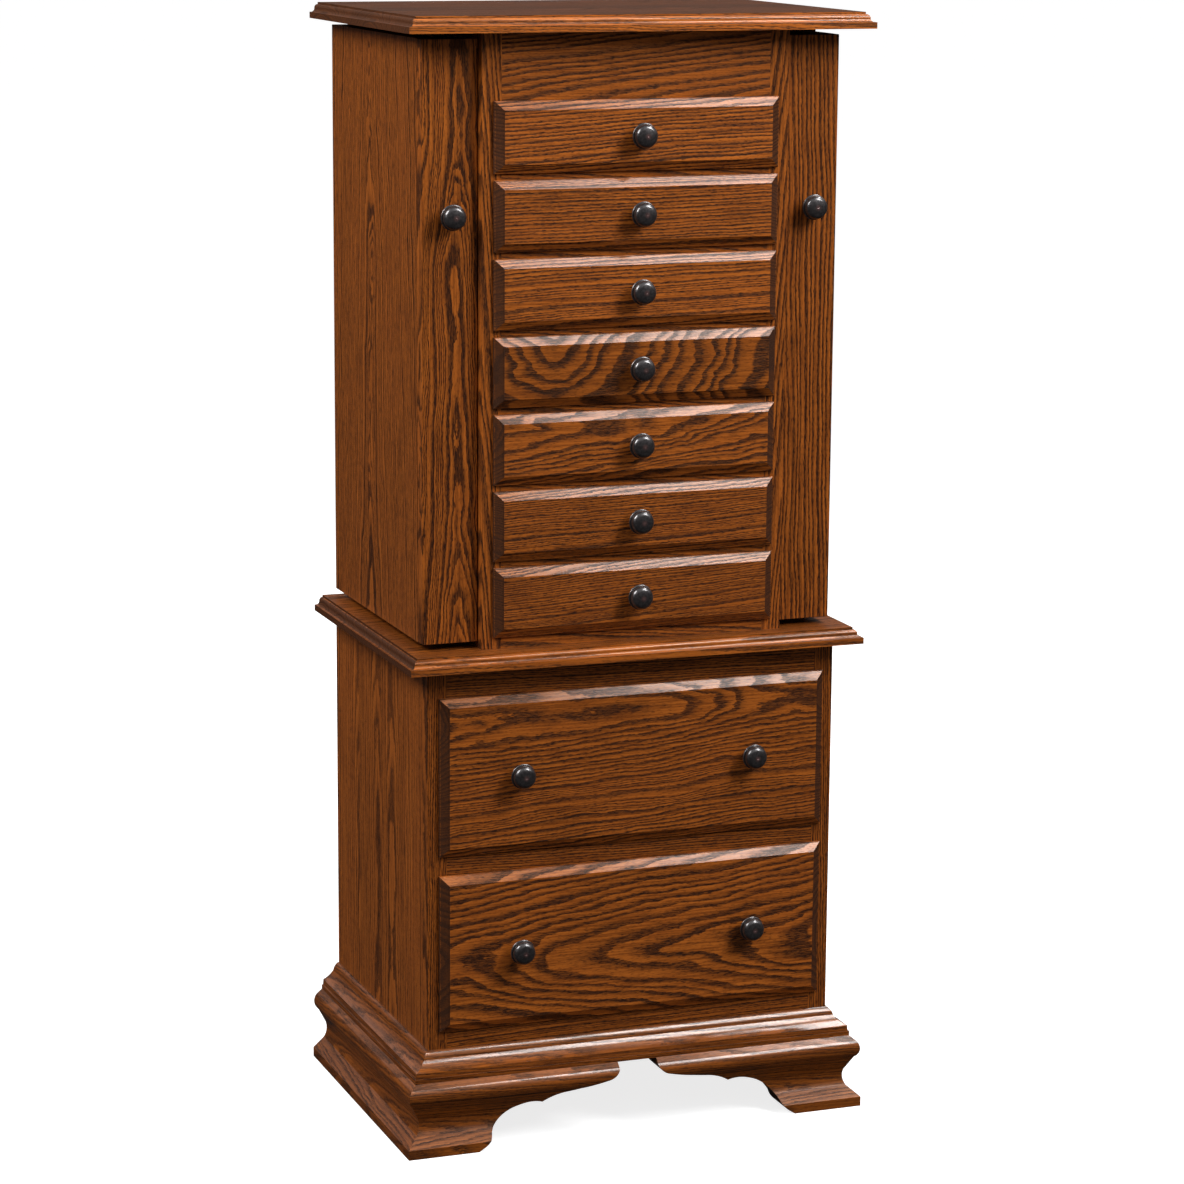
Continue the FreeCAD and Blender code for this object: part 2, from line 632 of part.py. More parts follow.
def make_mirror():
    half_x = PARTITION_IN - MIRROR_FRAME_SIDE
    half_y = (BACK_FRONT_Y - FRAME_BACK_Y) / 2 - MIRROR_FRAME_SIDE
    middle = V(0, (FRAME_BACK_Y + BACK_FRONT_Y) / 2, 0)
    inset = MIRROR_FRAME_W - MIRROR_LIP
    mirror = box(-half_x + inset, half_x - inset, -half_y + inset, half_y - inset, LID_Z - MIRROR_T, LID_Z)
    mirror.translate(middle)
    save("lid_mirror", mirror)

    section = [(0, 0), (0, -MIRROR_FRAME_H), (MIRROR_FRAME_W - 4, -MIRROR_FRAME_H),
               (MIRROR_FRAME_W, -MIRROR_FRAME_H + 3), (MIRROR_FRAME_W, -MIRROR_T), (inset, -MIRROR_T), (inset, 0)]
    strips = []
    for half_long, half_across, turn in ((half_x, half_y, 0), (half_y, half_x, 90)):
        for angle in (turn, turn + 180):
            strip = mitred_strip(section, half_long, half_across)
            strip.rotate(V(0, 0, 0), V(0, 0, 1), angle)
            strip.translate(middle)
            strips.append(strip)
    save("lid_mirror_frame", strips)


make_base()
make_boards()
make_lower_case()
make_upper_case()
make_tray()
make_drawers()
make_hinges()
make_doors()
make_mirror()
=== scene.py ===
"""Jewelry armoire in stained oak: finishes, felt, ring rolls, studio and camera round the frame.

Places are in metres, +X is the right-hand side, the front faces -Y and +Z is up.
Wood grain is worked out in millimetres, in the solid wood of each board.
"""
import math
import bpy
from mathutils import Matrix, Vector, noise


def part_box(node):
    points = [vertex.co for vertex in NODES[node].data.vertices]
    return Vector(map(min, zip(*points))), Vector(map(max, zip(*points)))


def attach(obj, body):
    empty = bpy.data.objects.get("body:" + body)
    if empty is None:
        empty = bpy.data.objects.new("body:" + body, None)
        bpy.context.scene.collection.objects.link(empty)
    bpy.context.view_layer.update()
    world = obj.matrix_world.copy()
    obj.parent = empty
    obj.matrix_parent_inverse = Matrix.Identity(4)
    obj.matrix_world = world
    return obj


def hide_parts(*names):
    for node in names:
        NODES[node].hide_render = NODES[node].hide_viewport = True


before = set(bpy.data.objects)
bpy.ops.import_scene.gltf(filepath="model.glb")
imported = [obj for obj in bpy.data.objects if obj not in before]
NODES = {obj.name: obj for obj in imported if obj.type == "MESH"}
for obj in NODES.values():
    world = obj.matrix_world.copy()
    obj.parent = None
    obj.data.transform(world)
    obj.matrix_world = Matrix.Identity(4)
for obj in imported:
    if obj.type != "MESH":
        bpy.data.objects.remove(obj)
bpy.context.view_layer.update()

MM = 0.001

# ---------------------------------------------------------------- places taken from the frame, mm
CASE_HALF_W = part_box("lower_side_panels")[1].x / MM          # 270
CASE_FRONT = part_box("lower_face_frame")[0].y / MM            # front of the lower case
BOX_PLAY = 1.0               # from a drawer's box to the stile beside it
LOWER_STILE_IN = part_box("large_drawer_1_box")[1].x / MM + BOX_PLAY
UPPER_STILE_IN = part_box("drawer_1_box")[1].x / MM + BOX_PLAY
STRIP_T = 19.0               # thickness of the strip on a door's front
STRIP_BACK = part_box("left_door")[0].y / MM + STRIP_T
BASE_OUT = 36                # how far the base moulding stands out from the case

# ---------------------------------------------------------------- colours, scene linear
OAK_LIGHT = (0.470, 0.127, 0.0165)
OAK_MID = (0.262, 0.066, 0.0095)
OAK_DARK = (0.022, 0.0070, 0.0038)
OAK_END = (0.025, 0.0092, 0.0054)     # end grain drinks up the stain


# ---------------------------------------------------------------- shader building
class Tree:
    """Adds nodes to a node tree. A sum, a noise or a mix is given back as its output socket."""

    def __init__(self, tree):
        self.tree = tree

    def put(self, value, socket):
        """The value, or a link from it where it is a socket, goes into the socket."""
        if isinstance(value, bpy.types.NodeSocket):
            self.tree.links.new(value, socket)
        elif value is not None:
            socket.default_value = value

    def node(self, kind, settings=None, **inputs):
        """A new node with its settings and inputs; _ in an input's name stands for a space."""
        made = self.tree.nodes.new(kind)
        for name, value in (settings or {}).items():
            setattr(made, name, value)
        for name, value in inputs.items():
            self.put(value, made.inputs[name.replace("_", " ")])
        return made

    def math(self, operation, a, b=None, clamp=False):
        made = self.node("ShaderNodeMath", {"operation": operation, "use_clamp": clamp})
        self.put(a, made.inputs[0])
        self.put(b, made.inputs[1])
        return made.outputs[0]

    def add(self, a, b):
        return self.math("ADD", a, b)

    def sub(self, a, b):
        return self.math("SUBTRACT", a, b)

    def mul(self, a, b):
        return self.math("MULTIPLY", a, b)

    def vector(self, x, y, z):
        return self.node("ShaderNodeCombineXYZ", X=x, Y=y, Z=z).outputs[0]

    def split(self, vector):
        return self.node("ShaderNodeSeparateXYZ", Vector=vector).outputs

    def scaled(self, vector, factors):
        made = self.node("ShaderNodeVectorMath", {"operation": "MULTIPLY"})
        self.put(vector, made.inputs[0])
        self.put(factors, made.inputs[1])
        return made.outputs[0]

    def shifted(self, vector, by):
        made = self.node("ShaderNodeVectorMath", {"operation": "ADD"})
        self.put(vector, made.inputs[0])
        self.put(by, made.inputs[1])
        return made.outputs[0]

    def noise(self, vector, scale=1.0, detail=0.0, roughness=0.5, distortion=0.0):
        made = self.node("ShaderNodeTexNoise", None, Vector=vector, Scale=scale, Detail=detail,
                         Roughness=roughness, Distortion=distortion)
        return made.outputs["Fac"]

    def noise_1d(self, w, scale):
        made = self.node("ShaderNodeTexNoise", {"noise_dimensions": "1D"}, W=w, Scale=scale,
                         Detail=0.0)
        return made.outputs["Fac"]

    def random_1d(self, w):
        made = self.node("ShaderNodeTexWhiteNoise", {"noise_dimensions": "1D"}, W=w)
        return made.outputs["Value"]

    def about_zero(self, fac, swing):
        """Noise around 0.5 becomes noise around 0, of half the swing either way at most."""
        return self.mul(self.sub(fac, 0.5), swing)

    def ramp(self, value, stops):
        """Straight lines through (place, height) stops."""
        made = self.node("ShaderNodeValToRGB", None, Fac=value)
        ramp = made.color_ramp
        ramp.interpolation = "LINEAR"
        while len(ramp.elements) < len(stops):
            ramp.elements.new(0.5)
        for element, (place, height) in zip(ramp.elements, stops):
            element.position = place
            element.color = (height, height, height, 1)
        return made.outputs["Color"]

    def mapped(self, value, low, high, to_low=0.0, to_high=1.0, smooth=True):
        """Low to high becomes to_low to to_high, held beyond both ends; smooth is an S curve."""
        kind = "SMOOTHSTEP" if smooth else "LINEAR"
        made = self.node("ShaderNodeMapRange", {"interpolation_type": kind},
                         Value=value, From_Min=low, From_Max=high, To_Min=to_low, To_Max=to_high)
        return made.outputs[0]

    def mix(self, fac, a, b):
        """Colour a where fac is 0, colour b where it is 1."""
        made = self.node("ShaderNodeMix", {"data_type": "RGBA", "blend_type": "MIX",
                                           "clamp_factor": True})
        self.put(fac, made.inputs[0])
        for value, socket in ((a, made.inputs[6]), (b, made.inputs[7])):
            self.put((*value, 1) if isinstance(value, tuple) else value, socket)
        return made.outputs[2]

    def choose(self, fac, a, b):
        """Vector a where fac is 0, vector b where it is 1."""
        made = self.node("ShaderNodeMix", {"data_type": "VECTOR"})
        self.put(fac, made.inputs[0])
        self.put(a, made.inputs[4])
        self.put(b, made.inputs[5])
        return made.outputs[1]

    def place_mm(self):
        """Where the point is in the object's own frame, in mm."""
        made = self.node("ShaderNodeTexCoord")
        return self.scaled(made.outputs["Object"], (1 / MM, 1 / MM, 1 / MM))

    def facing(self):
        """Which way the surface faces in the object's own frame."""
        return self.node("ShaderNodeTexCoord").outputs["Normal"]

    def finish(self, settings, **linked):
        """Principled shader: settings are constants for its sockets, linked are sockets."""
        shader = self.node("ShaderNodeBsdfPrincipled")
        for name, value in settings.items():
            shader.inputs[name].default_value = value
        for name, socket in linked.items():
            self.tree.links.new(socket, shader.inputs[name.replace("_", " ")])
        output = self.node("ShaderNodeOutputMaterial")
        self.tree.links.new(shader.outputs[0], output.inputs["Surface"])

    def bump(self, height, distance):
        """Normals of a relief of the height, where a height of 1 stands distance metres proud."""
        return self.node("ShaderNodeBump", None, Height=height, Distance=distance,
                         Strength=1.0).outputs["Normal"]


def new_material(name):
    material = bpy.data.materials.new(name)
    material.use_nodes = True
    material.node_tree.nodes.clear()
    return material, Tree(material.node_tree)


# ---------------------------------------------------------------- oak
NO_STAVES = 10000.0          # a stave wider than any board
OAK_INPUTS = {
    "Pith Across": 0.0,      # the middle of the tree, across the board, mm
    "Pith Behind": 60.0,     # the same, behind the board's face
    "Taper": 0.05,           # how much the rings widen along the board, mm per mm
    "Spacing": 4.0,          # width of a growth ring, mm
    "Bend": 3.0,             # how far the rings wander, mm
    "Ripple": 0.5,           # short waves in the rings, mm
    "Eye Height": 0.0,       # a swelling in the rings, which draws closed loops, mm
    "Eye Along": 0.0,        # the middle of the eye and its size, mm
    "Eye Across": 0.0,
    "Eye Length": 60.0,
    "Eye Width": 30.0,
    "Swirl": 0.0,            # how fast they widen away from the eye, mm per mm: arcs round a knot
    "Stave": NO_STAVES,      # width of the glued staves, mm
    "Seed": 0.0,
    "Contrast": 1.0,
    "Tone": 1.0,
    "End": 0.0,              # how squarely the surface cuts the grain, 0 to 1
}

# length along the grain and width across it of what makes up the figure, mm
WANDER = (210, 62)           # slow waves in the rings
RIPPLE = (46, 17)            # short waves in the rings
TREMBLE = (15, 5)            # unsteady edges of the rings
RAGGED = (5, 1.2)            # torn edges of the rings
PORE = (11, 0.55)            # open pores of the early wood
FLECK = (7, 1.1)             # short dark flecks
STREAK = (80, 2.3)           # fine streaks between the pores
BLOTCH = (150, 48)           # uneven stain

EDGE_SWING = 1.092           # of the trembling and of the torn edges, mm
SWING_OF_INPUT = 4.0         # a wave's swing for each mm of its input
EYE_BLUNT = 60.0             # rounds off the arcs close round the eye, mm2
UNEVEN_PACE = 0.37           # how fast the rings' widths change from ring to ring
UNEVEN_BY = 1.7              # and by how many rings
SEEDS_APART = 613.0          # how far apart along the wood two seeds lie, mm
SEEDS_DEEP = 37.0            # how far apart into the wood two seeds lie, mm
STAVES_APART = 2900.0        # how far apart the wood of two staves lies at most, mm
STAVE_STEP = 3.71            # from the seed of one stave to that of the next
SECOND_DRAW = 57.3           # from a stave's seed to the seed of its second random number
STAVE_PITH = 2.4             # how widely the staves' piths are spread, in widths of a stave
STAVE_TONE = 0.42            # how widely the staves' tones are spread


def grain_noise(t, grain, size, **settings):
    """Noise drawn out along the grain, where size is its length and width in mm."""
    length, width = size
    return t.noise(t.scaled(grain, (1 / length, 1 / width, 1 / width)), **settings)


def oak_group():
    """Red oak in stain and lacquer, drawn from a place in a board.

    The grain runs along X, the board's width along Y and its depth along Z, in mm.
    """
    group = bpy.data.node_groups.new("stained_oak", "ShaderNodeTree")

    def add_socket(name, way, kind):
        return group.interface.new_socket(name, in_out=way, socket_type="NodeSocket" + kind)

    add_socket("Place", "INPUT", "Vector")
    for name, value in OAK_INPUTS.items():
        add_socket(name, "INPUT", "Float").default_value = value
    add_socket("Color", "OUTPUT", "Color")
    for name in ("Roughness", "Height", "Film"):
        add_socket(name, "OUTPUT", "Float")
    t = Tree(group)
    given = t.node("NodeGroupInput").outputs
    along, across, depth = t.split(given["Place"])

    # glued staves: each has its own tree, place in the tree and tone
    stave_index = t.math("FLOOR", t.add(t.math("DIVIDE", across, given["Stave"]), 0.5))
    stave_seed = t.add(t.mul(stave_index, STAVE_STEP), given["Seed"])
    stave_random = t.random_1d(stave_seed)
    stave_other = t.random_1d(t.add(stave_seed, SECOND_DRAW))
    local = t.sub(across, t.mul(stave_index, given["Stave"]))
    staved = t.math("LESS_THAN", given["Stave"], NO_STAVES / 2)
    pith_shift = t.mul(t.mul(t.sub(stave_random, 0.5), staved),
                       t.mul(given["Stave"], STAVE_PITH))
    seeded = t.add(t.mul(given["Seed"], SEEDS_APART), t.mul(stave_other, STAVES_APART))
    grain = t.vector(t.add(along, seeded), local, t.add(depth, t.mul(given["Seed"], SEEDS_DEEP)))

    # growth rings
    off_pith = t.sub(local, t.add(given["Pith Across"], pith_shift))
    behind = t.sub(depth, given["Pith Behind"])
    from_pith = t.math("SQRT", t.add(t.mul(off_pith, off_pith), t.mul(behind, behind)))
    tapered = t.add(from_pith, t.mul(given["Taper"], along))
    wander = t.about_zero(grain_noise(t, grain, WANDER, detail=1.0),
                          t.mul(given["Bend"], SWING_OF_INPUT))
    ripple = t.about_zero(grain_noise(t, grain, RIPPLE, detail=1.0),
                          t.mul(given["Ripple"], SWING_OF_INPUT))
    tremble = t.about_zero(grain_noise(t, grain, TREMBLE), EDGE_SWING)
    ragged = t.about_zero(grain_noise(t, grain, RAGGED), EDGE_SWING)
    eye_along = t.sub(along, given["Eye Along"])
    eye_across = t.sub(local, given["Eye Across"])
    eye_g = t.math("DIVIDE", eye_along, given["Eye Length"])
    eye_u = t.math("DIVIDE", eye_across, given["Eye Width"])
    bell = t.math("EXPONENT", t.mul(t.add(t.mul(eye_g, eye_g), t.mul(eye_u, eye_u)), -1.0))
    from_eye = t.math("SQRT", t.add(t.add(t.mul(eye_along, eye_along),
                                          t.mul(eye_across, eye_across)), EYE_BLUNT))
    eye = t.add(t.mul(given["Eye Height"], bell), t.mul(from_eye, given["Swirl"]))
    radius = t.add(t.add(t.add(tapered, wander), tremble), t.add(t.add(ripple, ragged), eye))
    ring = t.math("DIVIDE", radius, given["Spacing"])
    uneven = t.mul(t.noise_1d(t.add(ring, given["Seed"]), UNEVEN_PACE), UNEVEN_BY)
    ring = t.add(ring, uneven)
    within = t.math("FRACT", ring)
    ring_random = t.random_1d(t.add(t.math("FLOOR", ring), given["Seed"]))
    early = t.ramp(within, [(0.0, 0.0), (0.06, 1.0), (0.34, 1.0), (0.48, 0.50), (0.68, 0.14),
                            (1.0, 0.0)])
    early = t.mul(early, t.mapped(ring_random, 0.0, 1.0, 0.74, 1.0, smooth=False))

    # open pores, dense in the early wood, and short flecks everywhere
    pore = t.mapped(grain_noise(t, grain, PORE, detail=1.0), 0.44, 0.58)
    fleck = t.mapped(grain_noise(t, grain, FLECK, detail=1.0), 0.54, 0.66)
    streak = grain_noise(t, grain, STREAK, detail=3.0, roughness=0.62)
    blotch = grain_noise(t, grain, BLOTCH, detail=2.0)

    latewood = t.mix(t.mapped(streak, 0.33, 0.66), OAK_MID, OAK_LIGHT)
    latewood = t.mix(t.mapped(blotch, 0.34, 0.70, 0.0, 0.42), latewood, OAK_MID)
    stain = t.mul(early, t.mapped(pore, 0.0, 1.0, 0.66, 1.2, smooth=False))
    stain = t.add(stain, t.mul(fleck, 0.40))
    stain = t.add(stain, t.mapped(streak, 0.36, 0.54, 0.12, 0.0))
    stain = t.math("MULTIPLY", stain, given["Contrast"], clamp=True)
    colour = t.mix(stain, latewood, OAK_DARK)
    stave_tone = t.add(t.mul(t.mul(t.sub(stave_other, 0.5), staved), STAVE_TONE), 1.0)
    tone = t.mul(t.mul(stave_tone, given["Tone"]), t.mapped(blotch, 0.25, 0.75, 0.86, 1.10))
    colour = t.scaled(colour, t.vector(tone, tone, tone))
    end_grain = t.mapped(given["End"], 0.16, 0.50, 0.0, 0.88)
    colour = t.mix(end_grain, colour, OAK_END)

    pit = t.mul(t.mul(early, pore), -1.0)
    height = t.add(pit, t.mul(t.sub(streak, 0.5), 0.35))
    rough = t.add(t.add(0.32, t.mul(stain, 0.16)), t.mul(end_grain, 0.28))
    # open pores and end grain break the film of lacquer
    film = t.mul(t.sub(1.0, t.mul(stain, 0.55)), t.sub(1.0, t.mul(end_grain, 0.90)))
    t.node("NodeGroupOutput", None, Color=colour, Roughness=rough, Height=height, Film=film)
    return group


OAK_GROUP = oak_group()
LACQUER = {"Coat Roughness": 0.14, "Coat IOR": 1.5, "IOR": 1.45, "Specular IOR Level": 0.36,
           "Specular Tint": (1.0, 0.58, 0.34, 1.0)}
COAT_WEIGHT = 0.46           # where the pores are closed
OAK_RELIEF = 0.00012         # depth of the pores, m
PAIR_APART = 1500.0          # how far along the tree a mirrored pair lies from the middle, mm
SHADED_TOP_FACING = (0.90, 0.99)    # upward part of the normal where the painted shade on a flat top begins and is whole
AXIS = {"x": 0, "y": 1, "z": 2}


def in_board(t, point, axes, origin):
    """The point from the board's origin, with its grain, width and depth first to last."""
    parts = t.split(t.shifted(point, tuple(-value for value in origin)))
    return t.vector(*(parts[AXIS[axis]] for axis in axes))


def oak(name, axes, origin=(0, 0, 0), other=None, mirrored=False, shaded_top_tone=None,
        coat=COAT_WEIGHT, **figure):
    """Oak material. axes names the world axes of grain, width and depth, such as "xzy".

    other is (mask, axes, origin) for the part of the piece whose grain runs another way, where
    mask is a function from the tree and the point to a socket. A mirrored pair of boards shares
    one figure, drawn from different wood. The tone for a flat top is painted shade: the flat top is
    darkened to it, as it lies in less light than a moulded edge. coat is the weight of the lacquer
    where the pores are closed.
    figure sets inputs of the oak group.
    """
    material, t = new_material(name)
    point = t.place_mm()
    facing = t.facing()
    x, y, z = t.split(point)
    if mirrored:
        side = t.math("SIGN", x)
        point = t.vector(t.math("ABSOLUTE", x), y, z)
    place = in_board(t, point, axes, origin)
    end = t.math("ABSOLUTE", t.split(facing)[AXIS[axes[0]]])
    if other:
        mask, other_axes, other_origin = other
        is_other = mask(t, x, y, z)
        place = t.choose(is_other, place, in_board(t, point, other_axes, other_origin))
        other_end = t.math("ABSOLUTE", t.split(facing)[AXIS[other_axes[0]]])
        end = t.add(t.mul(is_other, other_end), t.mul(t.sub(1.0, is_other), end))
    if mirrored:
        place = t.shifted(place, t.vector(t.mul(side, PAIR_APART), 0.0, 0.0))
    wood = t.node("ShaderNodeGroup", {"node_tree": OAK_GROUP})
    t.put(place, wood.inputs["Place"])
    t.put(end, wood.inputs["End"])
    for key, value in figure.items():
        wood.inputs[key.replace("_", " ").title()].default_value = value
    # painted shade: a surface that faces up is darkened to the tone for a flat top
    if shaded_top_tone is not None:
        t.put(t.mapped(t.split(facing)[2], *SHADED_TOP_FACING, figure["tone"], shaded_top_tone),
              wood.inputs["Tone"])
    t.finish(LACQUER, Base_Color=wood.outputs["Color"], Roughness=wood.outputs["Roughness"],
             Normal=t.bump(wood.outputs["Height"], OAK_RELIEF),
             Coat_Weight=t.mul(wood.outputs["Film"], coat))
    return material


def give(node, material):
    """The CAD node takes the material in each of its slots."""
    for slot in NODES[node].material_slots:
        slot.material = material


def centre_mm(node):
    low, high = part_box(node)
    return tuple((low + high) / 2 / MM)


def front_of(node):
    """Middle of a board's front face, in mm."""
    low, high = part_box(node)
    return ((low.x + high.x) / 2 / MM, low.y / MM, (low.z + high.z) / 2 / MM)


# the figure on each drawer's front; inputs that aren't given keep the group's own values
DRAWER_FIGURES = {
    # straight grain that runs uphill
    "drawer_1": dict(pith_across=-74, pith_behind=44, taper=-0.050, spacing=4.3, bend=2.6,
                     seed=1.1, contrast=1.1, tone=1.13),
    "drawer_2": dict(pith_across=150, pith_behind=90, taper=0.012, spacing=3.6, bend=1.6,
                     seed=2.3, tone=1.02),
    "drawer_3": dict(pith_across=120, pith_behind=60, taper=0.035, spacing=4.2, bend=2.2,
                     seed=3.7, tone=1.10),
    # arcs round a knot at the left
    "drawer_4": dict(pith_across=30, pith_behind=420, taper=0.0, spacing=8.2, bend=1.8,
                     ripple=2.1, seed=4.2, eye_along=-108, eye_across=30, swirl=0.36, tone=0.80,
                     contrast=1.05),
    # a cathedral
    "drawer_5": dict(pith_across=34, pith_behind=44, taper=0.085, spacing=5.6, bend=4.0,
                     ripple=2.2, seed=5.9),
    # close, straight grain
    "drawer_6": dict(pith_across=-90, pith_behind=60, taper=-0.040, spacing=2.8, bend=2.4,
                     seed=6.4, tone=0.95),
    "drawer_7": dict(pith_across=-96, pith_behind=50, taper=-0.055, spacing=2.8, bend=3.2,
                     seed=7.7, tone=0.90),
    # wide boards with a cathedral lying on its side
    "large_drawer_1": dict(pith_across=70, pith_behind=46, taper=0.060, spacing=4.4, bend=6.0,
                           ripple=1.4, seed=11.3, tone=0.98),
    "large_drawer_2": dict(pith_across=-16, pith_behind=58, taper=-0.100, spacing=7.2, bend=6.0,
                           ripple=1.6, seed=12.6),
}


def on_stile(stile_in):
    """Mask that is 1 on the upright stiles of a face frame, which start at stile_in."""
    return lambda t, x, y, z: t.math("GREATER_THAN", t.math("ABSOLUTE", x), stile_in)


def past_mitre(t, x, y, z):
    """1 on the side runs of a moulding that is mitred at the front corners of the case."""
    out_to_side = t.sub(t.math("ABSOLUTE", x), CASE_HALF_W)
    out_to_front = t.sub(CASE_FRONT, y)
    return t.math("GREATER_THAN", t.sub(out_to_side, out_to_front), 0.0)


def on_side_panel(t, x, y, z):
    """1 on a door's side panel, behind the strip on its front."""
    return t.math("GREATER_THAN", y, STRIP_BACK)


def mirror_frame_side(t, x, y, z):
    """1 on the two short sides of the mirror's mitred frame."""
    low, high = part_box("lid_mirror_frame")
    middle = (low.y + high.y) / 2 / MM
    beyond_x = t.sub(t.math("ABSOLUTE", x), high.x / MM)
    beyond_y = t.sub(t.math("ABSOLUTE", t.sub(y, middle)), (high.y - low.y) / 2 / MM)
    return t.math("GREATER_THAN", t.sub(beyond_x, beyond_y), 0.0)


# where the figures are drawn from, in mm: the middle of a board's face, or near it
TOP_RAIL_AT = (0, CASE_FRONT, 1340)
UPPER_STILE_AT = (186, CASE_FRONT, 1000)
LOWER_RAIL_AT = (0, CASE_FRONT, 360)
LOWER_STILE_AT = (257, CASE_FRONT, 360)
DOOR_STRIP_X = 235
DOOR_Z = 1000
DOOR_PANEL_Y = 40
LOWER_SIDE_AT = (270, 60, 350)
BASE_Z = 60


def finish_drawer_fronts():
    for drawer, figure in DRAWER_FIGURES.items():
        node = drawer + "_front"
        give(node, oak("oak_" + node, "xzy", front_of(node), **figure))


def finish_face_frames():
    stiles = (on_stile(UPPER_STILE_IN), "zxy", UPPER_STILE_AT)
    give("upper_face_frame", oak("oak_upper_face_frame", "xzy", TOP_RAIL_AT, other=stiles,
                                 pith_across=-52, pith_behind=34, taper=-0.095, spacing=7.0,
                                 bend=3.6, seed=21.0))
    stiles = (on_stile(LOWER_STILE_IN), "zxy", LOWER_STILE_AT)
    give("lower_face_frame", oak("oak_lower_face_frame", "xzy", LOWER_RAIL_AT, other=stiles,
                                 pith_across=-90, pith_behind=40, taper=0.02, spacing=3.0,
                                 bend=2.0, seed=22.4, tone=0.85))


def finish_doors_and_sides():
    panel = (on_side_panel, "zyx", (-CASE_HALF_W, DOOR_PANEL_Y, DOOR_Z))
    give("left_door", oak("oak_left_door", "zxy", (-DOOR_STRIP_X, CASE_FRONT, DOOR_Z), other=panel,
                          pith_across=10, pith_behind=24, taper=0.058, spacing=4.6, bend=6.5,
                          ripple=1.8, seed=31.2, eye_height=-14, eye_along=90, eye_across=-8,
                          eye_length=70, eye_width=16, tone=0.92))
    panel = (on_side_panel, "zyx", (CASE_HALF_W, DOOR_PANEL_Y, DOOR_Z))
    give("right_door", oak("oak_right_door", "zxy", (DOOR_STRIP_X, CASE_FRONT, DOOR_Z), other=panel,
                           pith_across=-90, pith_behind=60, taper=0.012, spacing=5.6, bend=3.4,
                           seed=32.9, tone=0.92))
    give("lower_side_panels", oak("oak_lower_side_panels", "zyx", LOWER_SIDE_AT, mirrored=True,
                                  pith_across=30, pith_behind=-70, taper=0.015, spacing=3.8,
                                  bend=3.4, stave=96, seed=41.0, contrast=0.85, tone=0.92))


def finish_tops_and_base():
    # Painted light: the lid and the waist slab take a light tone, which stands in part for the
    # highlight on their moulded edges, and a dark tone on their flat tops as painted shade.
    for node, seed, tone, shaded_top_tone in (("lid_board", 51.0, 1.15, 0.33),
                                       ("waist_slab", 52.7, 1.12, 0.80)):
        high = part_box(node)[1]
        give(node, oak("oak_" + node, "xyz", (0, 0, high.z / MM), pith_across=20, pith_behind=-80,
                       taper=0.02, spacing=3.8, bend=4.0, stave=92, seed=seed, contrast=0.78,
                       tone=tone, shaded_top_tone=shaded_top_tone))
    side_run = (past_mitre, "yzx", (-CASE_HALF_W - BASE_OUT, 0, BASE_Z))
    # The base mouldings' flat tops are darkened to their own tone as painted shade.
    for node, seed in (("base_cap_moulding", 61.0), ("base_side_skirts", 62.0),
                       ("base_bracket_front_left", 63.0), ("base_bracket_front_right", 64.4)):
        give(node, oak("oak_" + node, "xzy", (0, CASE_FRONT - BASE_OUT, BASE_Z), other=side_run,
                       pith_across=-60, pith_behind=70, taper=0.04, spacing=3.2, bend=3.0,
                       seed=seed, contrast=0.74, tone=0.64, shaded_top_tone=0.42, coat=1.0))
    give("lid_mirror_frame", oak("oak_lid_mirror_frame", "xyz",
                                 other=(mirror_frame_side, "yxz", (0, 0, 0)),
                                 pith_across=-260, pith_behind=60, spacing=3.2, bend=2.0,
                                 seed=65.0))


def finish_inner_panels():
    for node, axes, seed in (("upper_partitions", "zyx", 71.0), ("lower_back_panel", "zxy", 72.0),
                             ("upper_back_panel", "zxy", 73.5), ("lower_dust_panels", "xyz", 74.0),
                             ("necklace_compartment_ends", "yxz", 75.0)):
        give(node, oak("oak_" + node, axes, centre_mm(node), pith_across=10, pith_behind=90,
                       taper=0.03, spacing=4.8, bend=5.0, stave=180, seed=seed, contrast=0.8,
                       tone=0.95))


# ---------------------------------------------------------------- plain drawer wood
def maple(name):
    """Clear-finished maple for drawer boxes, runners and dividers: pale, close, level grain."""
    material, t = new_material(name)
    point = t.place_mm()
    streak = t.noise(t.scaled(point, (1 / 60, 1 / 60, 1 / 2.2)), detail=3.0, roughness=0.6)
    band = t.noise(t.scaled(point, (1 / 160, 1 / 160, 1 / 12)), detail=1.0)
    colour = t.mix(t.mapped(streak, 0.32, 0.68), (0.560, 0.360, 0.190),
                   (0.700, 0.500, 0.300))
    colour = t.mix(t.mapped(band, 0.40, 0.70, 0.0, 0.5), colour, (0.480, 0.290, 0.145))
    t.finish({"Coat Weight": 0.2, "Coat Roughness": 0.3}, Base_Color=colour,
             Roughness=t.mapped(streak, 0.3, 0.7, 0.40, 0.52), Normal=t.bump(streak, 0.00006))
    return material


def finish_drawer_wood():
    wood = maple("maple")
    for node in NODES:
        if node.endswith("_box") or node.endswith("_runners") or node in (
                "base_inner_frame", "tray_dividers", "tray_floor"):
            give(node, wood)


# ---------------------------------------------------------------- metal, plastic and glass
CROWN_R = (0.5, 5.2)         # reddish out to the first radius, dark from the second on, mm
RIM_R = (15.0, 15.8)         # dark up to the first radius, lighter and coppery from the second on, mm
